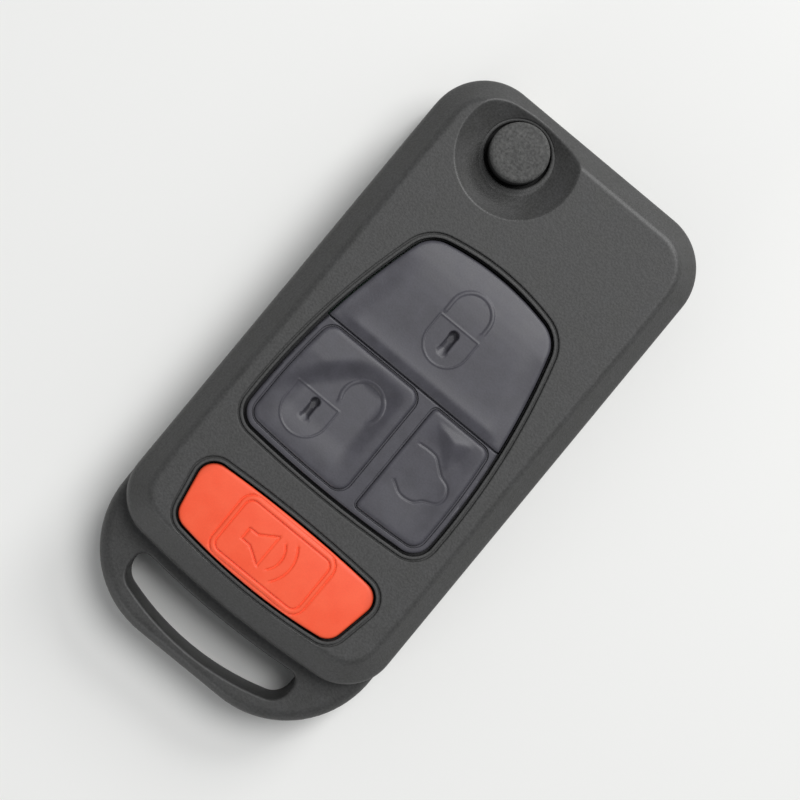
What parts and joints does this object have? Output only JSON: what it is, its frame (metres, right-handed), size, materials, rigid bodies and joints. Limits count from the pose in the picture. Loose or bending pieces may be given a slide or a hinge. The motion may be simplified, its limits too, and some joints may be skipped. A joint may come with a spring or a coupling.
{
  "type": "key fob",
  "caption": "Car key fob with a folding blade, rubber lock, unlock and boot keys, an orange alarm key, a release button in a dish and a slot for a key ring.",
  "frame": {"origin": "middle of the outline, on the flat back face", "axes": "+Z out of the front face with the keys, +Y along the case towards the release button, +X to the right seen from the front"},
  "size_m": [0.0372, 0.0764, 0.0158],
  "materials": {
    "case_plastic": "spark eroded",
    "key_rubber": "matt",
    "panic_rubber": "matt",
    "hub_metal": "cast and tumbled",
    "blade_metal": "nickel plated",
    "spring_steel": "drawn",
    "inner_plastic": "moulded",
    "board_laminate": "solder mask",
    "chip_resin": "moulded",
    "contact_metal": "plated",
    "cell_steel": "nickel plated"
  },
  "bodies": {
    "lock_button": {"lock_key": "key_rubber", "plunger_lock": "inner_plastic"},
    "unlock_button": {"unlock_key": "key_rubber", "plunger_unlock": "inner_plastic"},
    "trunk_button": {"trunk_key": "key_rubber", "plunger_trunk": "inner_plastic"},
    "panic_button": {"panic_key": "panic_rubber", "plunger_panic": "inner_plastic"},
    "blade": {"blade_hub": "hub_metal", "key_blade": "blade_metal", "blade_roll_pin": "spring_steel", "button_spring": "spring_steel"},
    "release": {"release_button": "case_plastic"},
    "battery_door": {"battery_cover": "case_plastic"},
    "case": {"battery": "cell_steel", "circuit_board": "board_laminate", "contact_negative": "contact_metal", "contact_positive": "contact_metal", "controller_chip": "chip_resin", "crystal": "contact_metal", "flip_spring": "spring_steel", "front_cover": "case_plastic", "inner_frame": "inner_plastic", "keypad": "key_rubber", "pivot_pin": "spring_steel", "rear_cover": "case_plastic", "switch_lock": "chip_resin", "switch_panic": "chip_resin", "switch_trunk": "chip_resin", "switch_unlock": "chip_resin", "thrust_washer": "spring_steel", "transponder": "chip_resin"}
  },
  "joints": [
    {"name": "blade_flip", "type": "hinge", "parent": "case", "child": "blade", "pos_m": [-0.00745, 0.0321, 0.005], "axis": [0, 0, -1], "range_deg": [0, 180]},
    {"name": "release_press", "type": "slide", "parent": "blade", "child": "release", "axis": [0, 0, -1], "range_m": [0, 0.0016], "stiffness_N_per_m": 1200, "springref_m": -0.001, "deforming": ["button_spring"]},
    {"name": "lock_press", "type": "slide", "parent": "case", "child": "lock_button", "axis": [0, 0, -1], "range_m": [0, 0.0004], "stiffness_N_per_m": 1500, "springref_m": -0.0003},
    {"name": "unlock_press", "type": "slide", "parent": "case", "child": "unlock_button", "axis": [0, 0, -1], "range_m": [0, 0.0004], "stiffness_N_per_m": 1500, "springref_m": -0.0003},
    {"name": "trunk_press", "type": "slide", "parent": "case", "child": "trunk_button", "axis": [0, 0, -1], "range_m": [0, 0.0004], "stiffness_N_per_m": 1500, "springref_m": -0.0003},
    {"name": "panic_press", "type": "slide", "parent": "case", "child": "panic_button", "axis": [0, 0, -1], "range_m": [0, 0.0004], "stiffness_N_per_m": 1500, "springref_m": -0.0003},
    {"name": "battery_cover_lift", "type": "slide", "parent": "case", "child": "battery_door", "axis": [0, 0, -1], "range_m": [0, 0.006]}
  ]
}
